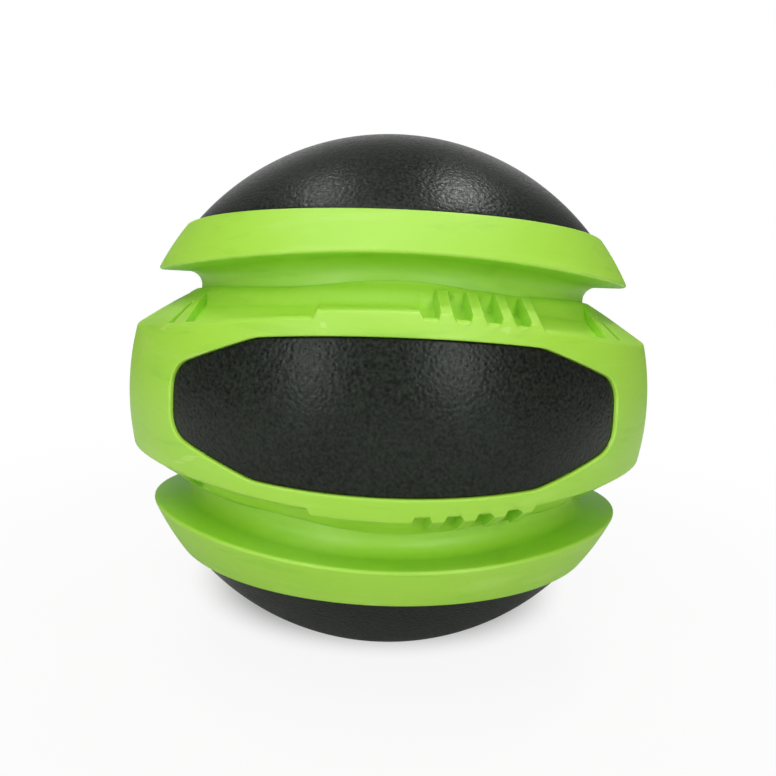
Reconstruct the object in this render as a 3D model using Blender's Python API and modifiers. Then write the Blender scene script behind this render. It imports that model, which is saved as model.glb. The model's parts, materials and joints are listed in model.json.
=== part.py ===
"""Bouncing dog ball: a hollow rubber core inside an armour of three elastic mouldings.

A belt with three windows sits round the core's equator, and a flanged ring is pulled over each
end, so that a V-shaped bite groove stays open above and below the belt. Textured black pads fill
the windows, textured black caps fill the rings' mouths, and each is held by a brim that runs
under the green edge around it. The ball's centre is the origin and its poles lie on Z.
"""

import math

import bmesh
import bpy
from mathutils import Vector

MM = 0.001

# Ball and fits
BALL_RADIUS = 45.0 * MM  # outer sphere of the green mouldings
ARMOUR_THICKNESS = 11.5 * MM  # from the core to the ball's surface
PAD_RECESS = 0.8 * MM  # black surfaces lie this far below the green ones
CLEARANCE = 0.3 * MM  # between any two pieces that touch

# Core
CORE_WALL = 5.0 * MM
CORE_TONGUE_LENGTH = 3.0 * MM  # the upper half's spigot, down into the lower half
CORE_TONGUE_THICKNESS = 2.2 * MM

# Windows, as angles round the belt and heights above the equator
WINDOW_SIDES = ("front", "right", "left")
WINDOW_END_ANGLE = math.radians(42.8)
WINDOW_SHOULDER_ANGLE = math.radians(24.5)
WINDOW_CENTRE_HEIGHT = 9.75 * MM
WINDOW_SHOULDER_HEIGHT = 9.0 * MM
WINDOW_END_HEIGHT = 4.6 * MM
WINDOW_CORNER_RADIUS = 2.4 * MM

# Brims that hold the pads and caps
BRIM_WIDTH = 2.2 * MM  # how far a brim reaches under the green edge
BRIM_DEPTH = 4.5 * MM  # green material over a brim

# Belt
FRAME_WIDTH = 2.25 * MM  # of the belt's face above a window's middle
BELT_NARROWING = 2.6 * MM  # the face is this much lower at a pillar
BELT_EDGE_RADIUS = 1.0 * MM
BELT_WEB = 0.55 * MM  # left between a brim's pocket and the ring's foot
COLLAR_WIDTH = 0.6 * MM

# Rings
SKIRT_THICKNESS = 2.8 * MM  # of the ring's foot, at its end, over the core
SKIRT_LENGTH = 2.7 * MM  # how far the foot reaches in under the belt's collar
GROOVE_WIDTH = 3.5 * MM  # at the groove's bottom, from the collar to the flange's mean height
GROOVE_FILLET = 2.0 * MM
LIP_WAVE = 0.8 * MM  # the flange rises this much over each window and dips as much at each pillar
RING_HEIGHT = 6.9 * MM  # from the flange's mean height to the ring's mouth
LIP_RADIUS = 0.3 * MM
MOUTH_EDGE_RADIUS = 0.5 * MM

# Caps
POLE_FLAT_RADIUS = 6.0 * MM
CAP_EDGE_RADIUS = 0.5 * MM

# Grips on the belt's slopes: at each window a plate that raises the belt's edge, then ribs between open pockets
GRIP_RAISE = 0.7 * MM
GRIP_SINK = 0.6 * MM  # rooted this deep in the belt, so that they are one moulding
GRIP_START_ANGLE = math.radians(-14.3)  # from the window's middle
GRIP_END_ANGLE = math.radians(24.3)
GRIP_RIB_ANGLE = math.radians(2.45)
GRIP_POCKET_ANGLE = math.radians(2.9)
GRIP_POCKETS = 4
GRIP_INNER_END = 0.08  # share of the slope, from the collar outwards

# Facets
STEPS_AROUND = 48
CORE_STEPS_AROUND = 30
CORE_ARC_STEPS = 6
ARC_STEP = math.radians(11.0)  # longest arc of a turned profile that stays one flat facet
WINDOW_STEPS = 16
RING_FACE_STEPS = 2
BELT_FACE_STEPS = 3
PAD_FACE_STEPS = 3


def width_at(radius, height):
    """Distance from the axis of a sphere's surface at a height."""
    return math.sqrt(radius**2 - height**2)


# Radii that follow
CORE_RADIUS = BALL_RADIUS - ARMOUR_THICKNESS
SEAT_RADIUS = CORE_RADIUS + CLEARANCE
BLACK_RADIUS = BALL_RADIUS - PAD_RECESS
COVER_RADIUS = BALL_RADIUS - BRIM_DEPTH  # inner side of the green material over a brim
BRIM_RADIUS = COVER_RADIUS - CLEARANCE
BRIM_MIDDLE = (COVER_RADIUS + SEAT_RADIUS) / 2  # faces and openings reach in this far, among the brims

# Heights that follow, stacked up from the equator
BELT_EDGE_AT_WINDOW = WINDOW_CENTRE_HEIGHT + FRAME_WIDTH
REBATE_HEIGHT = WINDOW_CENTRE_HEIGHT + BRIM_WIDTH + CLEARANCE + BELT_WEB
SKIRT_END = REBATE_HEIGHT + CLEARANCE
COLLAR_HEIGHT = SKIRT_END + SKIRT_LENGTH
FLANGE_HEIGHT = COLLAR_HEIGHT + GROOVE_WIDTH
MOUTH_HEIGHT = FLANGE_HEIGHT + RING_HEIGHT

# Reaches and angles that follow
GROOVE_RADIUS = width_at(SEAT_RADIUS, SKIRT_END) + SKIRT_THICKNESS
MOUTH_LATITUDE = math.asin(MOUTH_HEIGHT / BALL_RADIUS)
BRIM_LATITUDE = MOUTH_LATITUDE - BRIM_WIDTH / COVER_RADIUS
WINDOW_COUNT = len(WINDOW_SIDES)
WINDOW_PITCH = math.tau / WINDOW_COUNT


# Outline helpers: a profile is a list of (distance from the axis, height)

def on_sphere(radius, latitude):
    return (radius * math.cos(latitude), radius * math.sin(latitude))


def arc_steps(start, end):
    return max(1, math.ceil(abs(end - start) / ARC_STEP))


def sphere_arc(radius, start, end, steps=None):
    """Points on a sphere from one latitude to another, both included."""
    steps = steps or arc_steps(start, end)
    return [on_sphere(radius, start + (end - start) * i / steps) for i in range(steps + 1)]


def latitude_at(radius, height):
    return math.asin(height / radius)


def rounded(before, corner, after, radius, steps=2):
    """The corner as an arc that touches both of its sides, never longer than 0.45 of either."""
    before, corner, after = Vector(before), Vector(corner), Vector(after)
    to_before = before - corner
    to_after = after - corner
    half = to_before.angle(to_after) / 2
    longest = 0.45 * min(to_before.length, to_after.length)
    touch = min(radius / math.tan(half), longest)
    radius = touch * math.tan(half)
    bisector = (to_before.normalized() + to_after.normalized()).normalized()
    centre = corner + bisector * (radius / math.sin(half))
    start = corner + to_before.normalized() * touch - centre
    end = corner + to_after.normalized() * touch - centre
    turn = start.angle_signed(end)
    points = []
    for i in range(steps + 1):
        angle = -turn * i / steps
        x = start.x * math.cos(angle) - start.y * math.sin(angle)
        y = start.x * math.sin(angle) + start.y * math.cos(angle)
        points.append((centre.x + x, centre.y + y))
    return points


# Object helpers

def clear_scene():
    for obj in list(bpy.data.objects):
        bpy.data.objects.remove(obj, do_unlink=True)


def new_collection(name):
    collection = bpy.data.collections.new(name)
    bpy.context.scene.collection.children.link(collection)
    return collection


def new_material(name, colour, roughness):
    material = bpy.data.materials.new(name)
    material.use_nodes = True
    shader = material.node_tree.nodes["Principled BSDF"]
    shader.inputs["Base Color"].default_value = (*colour, 1.0)
    shader.inputs["Roughness"].default_value = roughness
    shader.inputs["Metallic"].default_value = 0.0
    return material


def new_object(name, mesh, collection):
    obj = bpy.data.objects.new(name, mesh)
    collection.objects.link(obj)
    return obj


def turned(name, profile, steps, collection):
    """A profile turned about Z. It starts and ends on the axis."""
    mesh = bpy.data.meshes.new(name)
    edges = [(i, i + 1) for i in range(len(profile) - 1)]
    mesh.from_pydata([(r, 0.0, z) for r, z in profile], edges, [])
    obj = new_object(name, mesh, collection)
    screw = obj.modifiers.new("Turn", "SCREW")
    screw.axis = "Z"
    screw.steps = steps
    screw.render_steps = steps
    screw.use_merge_vertices = True
    screw.merge_threshold = 0.00001
    return obj


def add_loft(bm, sections, ring):
    """Skins a row of sections of equally many points, as a ring or as a bar with two end faces."""
    rows = [[bm.verts.new(point) for point in section] for section in sections]
    pairs = list(zip(rows, rows[1:]))
    if ring:
        pairs.append((rows[-1], rows[0]))
    for one, other in pairs:
        for i in range(len(one)):
            j = (i + 1) % len(one)
            bm.faces.new((one[i], other[i], other[j], one[j]))
    if not ring:
        bm.faces.new(rows[0])
        bm.faces.new(rows[-1])


def lofted(name, lofts, collection, ring=False):
    """One object that holds one loft, or several that stand apart."""
    bm = bmesh.new()
    for sections in lofts:
        add_loft(bm, sections, ring)
    bmesh.ops.recalc_face_normals(bm, faces=bm.faces)
    mesh = bpy.data.meshes.new(name)
    bm.to_mesh(mesh)
    bm.free()
    return new_object(name, mesh, collection)


def at_azimuth(azimuth, profile):
    """A profile stood up in the half plane at an azimuth: 0 faces the front, along -Y."""
    across, along = math.sin(azimuth), -math.cos(azimuth)
    return [Vector((r * across, r * along, z)) for r, z in profile]


def all_round(section):
    """A section at every step round the ball."""
    return [section(math.tau * i / STEPS_AROUND) for i in range(STEPS_AROUND)]


def combine(obj, other, operation):
    boolean = obj.modifiers.new(operation.capitalize(), "BOOLEAN")
    boolean.operation = operation
    boolean.object = other
    boolean.solver = "EXACT"


def hide_helper(obj):
    obj.hide_render = True
    obj.display_type = "WIRE"
    return obj


def smooth(obj, material):
    """Bakes the modifiers, gives the object its material and smooths all but its sharp edges."""
    graph = bpy.context.evaluated_depsgraph_get()
    obj.data = bpy.data.meshes.new_from_object(obj.evaluated_get(graph))
    obj.data.name = obj.name
    obj.modifiers.clear()
    obj.data.materials.clear()
    obj.data.materials.append(material)
    obj.data.shade_smooth()
    obj.data.set_sharp_from_angle(angle=math.radians(30))
    return obj


def copy_of(obj, name, collection, rotation):
    """A second piece from the same mould, turned about the ball's centre."""
    twin = new_object(name, obj.data, collection)
    twin.rotation_euler = rotation
    return twin


# Core

def core_upper_profile():
    outer = sphere_arc(CORE_RADIUS, math.pi / 2, 0.0, CORE_ARC_STEPS)
    hollow = CORE_RADIUS - CORE_WALL
    tongue = hollow + CORE_TONGUE_THICKNESS
    foot = [
        (tongue, 0.0),
        (tongue, -CORE_TONGUE_LENGTH),
        (hollow, -CORE_TONGUE_LENGTH),
    ]
    return outer + foot + sphere_arc(hollow, 0.0, math.pi / 2, CORE_ARC_STEPS)


def core_lower_profile():
    hollow = CORE_RADIUS - CORE_WALL
    rebate = hollow + CORE_TONGUE_THICKNESS + CLEARANCE
    floor = -CORE_TONGUE_LENGTH - CLEARANCE
    edge = latitude_at(CORE_RADIUS, -CLEARANCE)
    outer = sphere_arc(CORE_RADIUS, -math.pi / 2, edge, CORE_ARC_STEPS)
    rim = [(rebate, -CLEARANCE), (rebate, floor)]
    inner = sphere_arc(hollow, latitude_at(hollow, floor), -math.pi / 2, CORE_ARC_STEPS)
    return list(reversed(outer + rim + inner))


# Rings and caps

def ring_profile(azimuth):
    """From the mouth down the outer face, in along the flange and down the groove, and back up the core."""
    flange = FLANGE_HEIGHT + LIP_WAVE * math.cos(WINDOW_COUNT * azimuth)
    lip = (width_at(BALL_RADIUS, flange), flange)
    mouth = on_sphere(BALL_RADIUS, MOUTH_LATITUDE)
    face = sphere_arc(BALL_RADIUS, MOUTH_LATITUDE, latitude_at(BALL_RADIUS, flange), RING_FACE_STEPS)
    groove_corner = (GROOVE_RADIUS, flange)
    mouth_foot = on_sphere(COVER_RADIUS, MOUTH_LATITUDE)
    fillet = min(GROOVE_FILLET, GROOVE_WIDTH - LIP_WAVE)
    skirt = (GROOVE_RADIUS, SKIRT_END)
    return (
        rounded(mouth_foot, mouth, face[1], MOUTH_EDGE_RADIUS)
        + face[1:-1]
        + rounded(face[-2], lip, groove_corner, LIP_RADIUS)
        + rounded(lip, groove_corner, skirt, fillet, steps=3)
        + [skirt]
        + sphere_arc(SEAT_RADIUS, latitude_at(SEAT_RADIUS, SKIRT_END), BRIM_LATITUDE)
        + [on_sphere(COVER_RADIUS, BRIM_LATITUDE), mouth_foot]
    )


def ring_section(azimuth):
    return at_azimuth(azimuth, ring_profile(azimuth))


def cap_profile():
    """From the pole's flat down the dome, out round the brim and back along the core."""
    mouth = MOUTH_LATITUDE + CLEARANCE / COVER_RADIUS
    brim = BRIM_LATITUDE + CLEARANCE / COVER_RADIUS
    flat_latitude = math.acos(POLE_FLAT_RADIUS / BLACK_RADIUS)
    flat_height = BLACK_RADIUS * math.sin(flat_latitude)
    dome = sphere_arc(BLACK_RADIUS, flat_latitude, mouth)
    edge = rounded(dome[-2], dome[-1], on_sphere(BRIM_RADIUS, mouth), CAP_EDGE_RADIUS)
    step = [on_sphere(BRIM_RADIUS, mouth), on_sphere(BRIM_RADIUS, brim)]
    return [(0.0, flat_height)] + dome[:-1] + edge + step + sphere_arc(SEAT_RADIUS, brim, math.pi / 2)


# Belt

def belt_edge(azimuth):
    """Half height of the belt's outer face, which swells at each window and narrows at each pillar."""
    narrowing = BELT_NARROWING * (1 - math.cos(WINDOW_COUNT * azimuth)) / 2
    return BELT_EDGE_AT_WINDOW - narrowing


def belt_slope(azimuth):
    """The upper slope's ends: at the collar and at the outer face's edge."""
    edge = belt_edge(azimuth)
    collar = (GROOVE_RADIUS + CLEARANCE + COLLAR_WIDTH, COLLAR_HEIGHT)
    return collar, (width_at(BALL_RADIUS, edge), edge)


def belt_half_profile(azimuth):
    """The belt's section above the equator, from the core's seat out to the widest point."""
    collar, edge = belt_slope(azimuth)
    bore = GROOVE_RADIUS + CLEARANCE
    face = sphere_arc(BALL_RADIUS, latitude_at(BALL_RADIUS, edge[1]), 0.0, BELT_FACE_STEPS)
    seat = sphere_arc(SEAT_RADIUS, 0.0, latitude_at(SEAT_RADIUS, REBATE_HEIGHT))
    return (
        seat
        + [(bore, REBATE_HEIGHT), (bore, COLLAR_HEIGHT), collar]
        + rounded(collar, edge, face[1], BELT_EDGE_RADIUS)
        + face[1:]
    )


def belt_section(azimuth):
    upper = belt_half_profile(azimuth)
    lower = [(r, -z) for r, z in reversed(upper[1:-1])]
    return at_azimuth(azimuth, upper + lower)


def window_half_height(angle, grow):
    """Half height of a window at an angle from its middle, with its outline grown by a margin."""
    end = WINDOW_END_ANGLE + grow / BALL_RADIUS
    share = abs(angle) * WINDOW_END_ANGLE / end
    if share < WINDOW_SHOULDER_ANGLE:
        fall = (WINDOW_CENTRE_HEIGHT - WINDOW_SHOULDER_HEIGHT) * (share / WINDOW_SHOULDER_ANGLE) ** 2
        height = WINDOW_CENTRE_HEIGHT - fall
    else:
        run = (share - WINDOW_SHOULDER_ANGLE) / (WINDOW_END_ANGLE - WINDOW_SHOULDER_ANGLE)
        height = WINDOW_SHOULDER_HEIGHT + (WINDOW_END_HEIGHT - WINDOW_SHOULDER_HEIGHT) * run
    to_end = (end - abs(angle)) * BALL_RADIUS
    into_corner = max(0.0, WINDOW_CORNER_RADIUS - to_end)
    corner = min(WINDOW_CORNER_RADIUS, into_corner)
    height -= WINDOW_CORNER_RADIUS - math.sqrt(WINDOW_CORNER_RADIUS**2 - corner**2)
    return height + grow


def window_angles(grow):
    """Angles across a window, closer together at its round corners."""
    end = WINDOW_END_ANGLE + grow / BALL_RADIUS
    return [end * math.sin(math.pi * (i / WINDOW_STEPS - 0.5)) for i in range(WINDOW_STEPS + 1)]


def window_loft(azimuth, grow, inner, outer):
    """A bar of the window's outline, between two spheres."""
    sections = []
    for angle in window_angles(grow):
        half = window_half_height(angle, grow)
        front = latitude_at(outer, half)
        back = latitude_at(inner, half)
        face = sphere_arc(outer, front, -front, PAD_FACE_STEPS)
        seat = sphere_arc(inner, -back, back, PAD_FACE_STEPS)
        sections.append(at_azimuth(azimuth + angle, face + seat))
    return sections


def window_lofts(grow, inner, outer):
    return [window_loft(i * WINDOW_PITCH, grow, inner, outer) for i in range(WINDOW_COUNT)]


def out_to_ball(point, direction):
    """Where a line from inside the ball meets its sphere."""
    ahead = point.dot(direction)
    reach = math.sqrt(ahead**2 - point.length_squared + BALL_RADIUS**2)
    return point + direction * (reach - ahead)


def grip_section(window, beside, side):
    """A grip's section, in a plane beside the window's own: above the slope out to the ball, rooted in the belt."""
    collar, edge = (Vector(point) for point in belt_slope(math.asin(beside / BALL_RADIUS)))
    along = edge - collar
    outwards = Vector((-along.y, along.x)).normalized()
    inner = collar + along * GRIP_INNER_END
    top = inner + outwards * GRIP_RAISE
    below_edge = latitude_at(BALL_RADIUS, edge.y) - 1.5 * BELT_EDGE_RADIUS / BALL_RADIUS
    strip = [
        inner - outwards * GRIP_SINK,
        top,
        out_to_ball(top, along.normalized()),
        Vector(on_sphere(BALL_RADIUS - GRIP_SINK, below_edge)),
    ]
    section = []
    for reach, height in strip:
        section += at_azimuth(window + math.asin(beside / reach), [(reach, height * side)])
    return section


def grip_spans():
    """(start, end) angles of the plate and the ribs at one window."""
    pitch = GRIP_POCKET_ANGLE + GRIP_RIB_ANGLE
    plate_end = GRIP_END_ANGLE - GRIP_POCKETS * pitch
    spans = [(GRIP_START_ANGLE, plate_end)]
    for i in range(GRIP_POCKETS):
        start = plate_end + GRIP_POCKET_ANGLE + i * pitch
        spans.append((start, start + GRIP_RIB_ANGLE))
    return spans


def grip_lofts():
    facet = math.tau / STEPS_AROUND
    lofts = []
    for i in range(WINDOW_COUNT):
        for start, end in grip_spans():
            steps = max(1, round((end - start) / facet))
            angles = [start + (end - start) * k / steps for k in range(steps + 1)]
            places = [BALL_RADIUS * math.sin(angle) for angle in angles]
            lofts += [[grip_section(i * WINDOW_PITCH, place, side) for place in places] for side in (1, -1)]
    return lofts


def build_belt(parts, cutters, material):
    belt = lofted("belt", [all_round(belt_section)], parts, ring=True)
    grips = hide_helper(lofted("grips", grip_lofts(), cutters))
    windows = window_lofts(0.0, BRIM_MIDDLE, BALL_RADIUS + BRIM_DEPTH)
    openings = hide_helper(lofted("window_openings", windows, cutters))
    pockets = window_lofts(BRIM_WIDTH + CLEARANCE, SEAT_RADIUS - BRIM_DEPTH, COVER_RADIUS)
    pockets = hide_helper(lofted("brim_pockets", pockets, cutters))
    combine(belt, grips, "UNION")
    combine(belt, openings, "DIFFERENCE")
    combine(belt, pockets, "DIFFERENCE")
    return smooth(belt, material)


def build_pads(parts, cutters, material):
    """The window pads, all from one mould: a face that fills the window, on a wider brim."""
    face = window_loft(0.0, -CLEARANCE, BRIM_MIDDLE, BLACK_RADIUS)
    brim = window_loft(0.0, BRIM_WIDTH, SEAT_RADIUS, BRIM_RADIUS)
    names = [f"window_pad_{side}" for side in WINDOW_SIDES]
    first = lofted(names[0], [face], parts)
    combine(first, hide_helper(lofted("pad_brim", [brim], cutters)), "UNION")
    smooth(first, material)
    for i, name in enumerate(names[1:], start=1):
        copy_of(first, name, parts, (0.0, 0.0, i * WINDOW_PITCH))


def main():
    clear_scene()
    parts = new_collection("bouncing_dog_ball")
    cutters = new_collection("cutters")
    green = new_material("lime_rubber", (0.30, 0.64, 0.05), 0.45)
    black = new_material("black_grained_foam", (0.025, 0.028, 0.025), 0.6)
    inner = new_material("core_rubber", (0.05, 0.05, 0.05), 0.7)
    flipped = (0.0, math.pi, 0.0)  # about Y, which keeps each wave's crest over its window

    upper = turned("core_upper_half", core_upper_profile(), CORE_STEPS_AROUND, parts)
    lower = turned("core_lower_half", core_lower_profile(), CORE_STEPS_AROUND, parts)
    smooth(upper, inner)
    smooth(lower, inner)
    ring = lofted("upper_ring", [all_round(ring_section)], parts, ring=True)
    copy_of(smooth(ring, green), "lower_ring", parts, flipped)
    cap = turned("top_cap", cap_profile(), STEPS_AROUND, parts)
    copy_of(smooth(cap, black), "bottom_cap", parts, flipped)
    build_belt(parts, cutters, green)
    build_pads(parts, cutters, black)

    centre = new_object("ball_centre", None, parts)
    for obj in parts.objects:
        if obj is not centre:
            obj.parent = centre


main()
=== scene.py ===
# %% [markdown]
# # A bouncing dog ball
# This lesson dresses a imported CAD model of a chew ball. The real ball is a black, grained foam ball that
# shows through a lime green rubber armour: a belt with three windows, and two rings with a bite groove
# under each. The CAD model has few facets, so the look is rebuilt here as smooth, dense meshes in the same
# frame and metres.

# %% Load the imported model
import json
import math

import bmesh
import bpy
import numpy as np
from mathutils import Matrix, Vector

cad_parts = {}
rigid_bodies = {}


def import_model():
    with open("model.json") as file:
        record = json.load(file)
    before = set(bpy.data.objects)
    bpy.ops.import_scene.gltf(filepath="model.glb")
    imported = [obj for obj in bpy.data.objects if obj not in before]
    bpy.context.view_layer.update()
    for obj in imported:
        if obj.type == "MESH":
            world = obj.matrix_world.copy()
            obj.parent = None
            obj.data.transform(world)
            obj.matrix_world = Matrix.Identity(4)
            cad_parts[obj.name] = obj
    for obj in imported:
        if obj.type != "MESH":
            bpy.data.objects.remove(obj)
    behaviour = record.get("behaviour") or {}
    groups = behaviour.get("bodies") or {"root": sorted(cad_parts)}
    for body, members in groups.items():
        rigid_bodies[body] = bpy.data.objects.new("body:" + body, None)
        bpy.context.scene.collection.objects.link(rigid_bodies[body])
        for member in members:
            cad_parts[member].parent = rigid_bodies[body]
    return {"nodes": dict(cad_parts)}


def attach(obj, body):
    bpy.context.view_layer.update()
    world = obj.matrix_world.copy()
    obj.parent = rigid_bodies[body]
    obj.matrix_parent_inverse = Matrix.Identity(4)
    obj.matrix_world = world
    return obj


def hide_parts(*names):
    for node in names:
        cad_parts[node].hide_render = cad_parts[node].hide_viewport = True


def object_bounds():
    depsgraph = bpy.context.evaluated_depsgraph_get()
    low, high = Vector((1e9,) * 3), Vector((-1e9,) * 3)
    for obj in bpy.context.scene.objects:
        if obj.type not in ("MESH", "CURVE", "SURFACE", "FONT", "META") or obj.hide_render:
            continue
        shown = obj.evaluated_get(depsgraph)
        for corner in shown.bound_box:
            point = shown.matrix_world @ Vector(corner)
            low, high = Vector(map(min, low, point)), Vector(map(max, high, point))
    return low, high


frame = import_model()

cad_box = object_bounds()
print("CAD nodes:", sorted(frame["nodes"]))

# %% [markdown]
# ## Sizes
# Every piece lies on spheres round one centre, so a few radii and heights drive the whole ball. They are
# the same sizes that the CAD model was drawn from. Heights are above the equator, and each has its mirror
# below.

# %% Radii
MM = 0.001
BALL_RADIUS = 45.0 * MM  # the green mouldings' outer sphere
BLACK_RADIUS = 44.2 * MM  # the black surfaces, a little below the green ones
COVER_RADIUS = 40.5 * MM  # inner side of the green rubber over a brim
BRIM_RADIUS = 40.2 * MM  # outer side of the brims that hold the black pieces in
SEAT_RADIUS = 33.8 * MM  # where the armour sits on the core
CLEARANCE = 0.3 * MM
BRIM_WIDTH = 2.2 * MM
print("ball diameter in mm:", 2 * BALL_RADIUS / MM)

# %% Heights above the equator
BELT_EDGE_AT_WINDOW = 12.0 * MM
BELT_NARROWING = 2.6 * MM  # the belt is this much lower at a pillar
REBATE_HEIGHT = 12.8 * MM
SKIRT_END = 13.1 * MM
COLLAR_HEIGHT = 15.8 * MM
FLANGE_HEIGHT = 19.3 * MM
LIP_WAVE = 0.8 * MM  # the ring's lip rises over a window and dips at a pillar
MOUTH_HEIGHT = 26.2 * MM
GROOVE_RADIUS = 33.958 * MM
BORE_RADIUS = GROOVE_RADIUS + CLEARANCE
COLLAR_WIDTH = 0.6 * MM
COLLAR_RADIUS = BORE_RADIUS + COLLAR_WIDTH
WINDOWS = ("front", "right", "left")
SECTOR = math.tau / len(WINDOWS)
print("window sector in degrees:", math.degrees(SECTOR))


# %% [markdown]
# ## From numbers to meshes
# A moulding could be boxed out and subdivided, but then its edges wander. Here each surface is a grid of
# points that is worked out from the sizes, so a fillet is exactly as round as it should be. These helpers
# place points on a sphere or in an upright section, and skin grids of points into one welded mesh.

# %% Points on spheres and in sections
def on_sphere(radius, azimuth, height):
    """Points on a sphere. Azimuth 0 is the front, along -Y, and grows towards +X."""
    return in_section(np.sqrt(radius**2 - height**2), azimuth, height)


def in_section(reach, azimuth, height):
    """Points at a distance from the axis, in the upright half plane at an azimuth."""
    reach, azimuth, height = np.broadcast_arrays(reach, azimuth, height)
    return np.stack([reach * np.sin(azimuth), -reach * np.cos(azimuth), height], axis=-1)


print("front point in mm:", on_sphere(BALL_RADIUS, 0.0, 0.0) / MM)


# %% Skin grids of points into one mesh
WELD = 0.001 * MM
CREASE = math.radians(40)


def grid_faces(rows, columns, first, ring):
    """Quads over a grid of rows and columns of points, which closes along its rows if it is a ring."""
    span = columns if ring else columns - 1
    for i in range(rows - 1):
        near = first + i * columns
        far = near + columns
        for j in range(span):
            k = (j + 1) % columns
            yield near + j, near + k, far + k, far + j


def skinned(name, grids):
    """One smooth mesh from (grid, ring) pairs. Points that fall together are welded."""
    points = []
    faces = []
    for grid, ring in grids:
        rows, columns = grid.shape[:2]
        faces.extend(grid_faces(rows, columns, len(points), ring))
        points.extend(grid.reshape(-1, 3).tolist())
    mesh = bpy.data.meshes.new(name)
    mesh.from_pydata(points, [], faces)
    shaped = bmesh.new()
    shaped.from_mesh(mesh)
    bmesh.ops.remove_doubles(shaped, verts=shaped.verts, dist=WELD)
    bmesh.ops.recalc_face_normals(shaped, faces=shaped.faces)
    shaped.to_mesh(mesh)
    open_edges = sum(1 for edge in shaped.edges if len(edge.link_faces) != 2)
    shaped.free()
    mesh.shade_smooth()
    mesh.set_sharp_from_angle(angle=CREASE)
    piece = bpy.data.objects.new(name, mesh)
    bpy.context.scene.collection.objects.link(piece)
    print(name, "faces:", len(mesh.polygons), "open edges:", open_edges)
    return piece


# %% Round a corner of a section
def rounded(start, leave, end, arrive, handle, steps):
    """A curve between two points that leaves and arrives along the given directions."""
    share = np.linspace(0.0, 1.0, steps + 1)
    first = start + leave * handle
    second = end - arrive * handle
    weights = [(1 - share) ** 3, 3 * (1 - share) ** 2 * share, 3 * (1 - share) * share**2, share**3]
    return [sum(w[i] * p for w, p in zip(weights, (start, first, second, end))) for i in range(steps + 1)]


def fillet(before, corner, after, radius, steps=6):
    """The rounded corner of a section of (reach, height) points, of a given radius."""
    before, corner, after = (np.asarray(point, float) for point in (before, corner, after))
    leave = (corner - before) / np.linalg.norm(corner - before)
    arrive = (after - corner) / np.linalg.norm(after - corner)
    turn = math.acos(np.clip(leave @ arrive, -1.0, 1.0))
    cut = radius * math.tan(turn / 2)
    handle = 4 / 3 * math.tan(turn / 4) * radius
    return rounded(corner - leave * cut, leave, corner + arrive * cut, arrive, handle, steps)


def arc(radius, start, end, steps):
    """Section points on a sphere from one latitude to another."""
    latitudes = np.linspace(start, end, steps + 1)
    return [np.array([radius * math.cos(a), radius * math.sin(a)]) for a in latitudes]


print("a fillet has", len(fillet((1, 0), (0, 0), (0, 1), 0.1)), "points")

# %% [markdown]
# ## The window's outline
# The belt's windows and the pads that fill them share one outline: a crowned top that falls to two
# shoulders, then straight flanks down to short upright ends with round corners. Each is drawn flat, as
# distance round the belt and height, then softened a little all round, because a mould cutter leaves no
# sharp inner corner.

# %% Outline sizes
WINDOW_END_ANGLE = math.radians(42.8)
WINDOW_SHOULDER_ANGLE = math.radians(24.5)
WINDOW_CENTRE_HEIGHT = 9.75 * MM
WINDOW_SHOULDER_HEIGHT = 9.0 * MM
WINDOW_END_HEIGHT = 4.6 * MM
WINDOW_CORNER_RADIUS = 2.4 * MM
OUTLINE_SOFTNESS = 0.7 * MM
OUTLINE_POINTS = 2000


def window_half_height(azimuth):
    """Half height of a window at angles from its middle."""
    turn = np.abs(azimuth)
    fall = WINDOW_CENTRE_HEIGHT - WINDOW_SHOULDER_HEIGHT
    crown = WINDOW_CENTRE_HEIGHT - fall * (turn / WINDOW_SHOULDER_ANGLE) ** 2
    run = (turn - WINDOW_SHOULDER_ANGLE) / (WINDOW_END_ANGLE - WINDOW_SHOULDER_ANGLE)
    flank = WINDOW_SHOULDER_HEIGHT + (WINDOW_END_HEIGHT - WINDOW_SHOULDER_HEIGHT) * run
    into_corner = WINDOW_CORNER_RADIUS - (WINDOW_END_ANGLE - turn) * BALL_RADIUS
    corner = np.clip(into_corner, 0.0, WINDOW_CORNER_RADIUS)
    lost = WINDOW_CORNER_RADIUS - np.sqrt(WINDOW_CORNER_RADIUS**2 - corner**2)
    return np.where(turn < WINDOW_SHOULDER_ANGLE, crown, flank) - lost


def along(line, shares):
    """Points at shares of a line's length."""
    steps = np.hypot(*np.diff(line, axis=0).T)
    length = np.concatenate([[0.0], np.cumsum(steps)])
    return np.stack([np.interp(shares * length[-1], length, column) for column in line.T], axis=1)


def soft_outline():
    """The closed outline as (distance round, height), from its left end over the top, with soft corners."""
    turn = WINDOW_END_ANGLE * np.sin(np.linspace(-math.pi / 2, math.pi / 2, OUTLINE_POINTS))
    top = np.stack([turn * BALL_RADIUS, window_half_height(turn)], axis=1)
    closed = np.concatenate([top, top[::-1] * (1, -1), top[:1]])
    even = along(closed, np.arange(OUTLINE_POINTS) / OUTLINE_POINTS)
    perimeter = np.hypot(*np.diff(closed, axis=0).T).sum()
    waves = np.fft.fftfreq(OUTLINE_POINTS, perimeter / OUTLINE_POINTS)
    blur = np.exp(-2 * (math.pi * waves * OUTLINE_SOFTNESS) ** 2)
    return np.fft.ifft(np.fft.fft(even, axis=0) * blur[:, None], axis=0).real


outline = soft_outline()
print("window in mm:", np.ptp(outline, axis=0) / MM)

# %% Split the outline at its four corners
CORNER_SPLIT = 0.75 * WINDOW_END_HEIGHT
above = outline[:, 1] >= CORNER_SPLIT
top_line = outline[above]
right_end = outline[(np.abs(outline[:, 1]) < CORNER_SPLIT) & (outline[:, 0] > 0)]
right_end = np.concatenate([top_line[-1:], right_end, top_line[-1:] * (1, -1)])
print("top line and end, points:", len(top_line), len(right_end))


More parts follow.
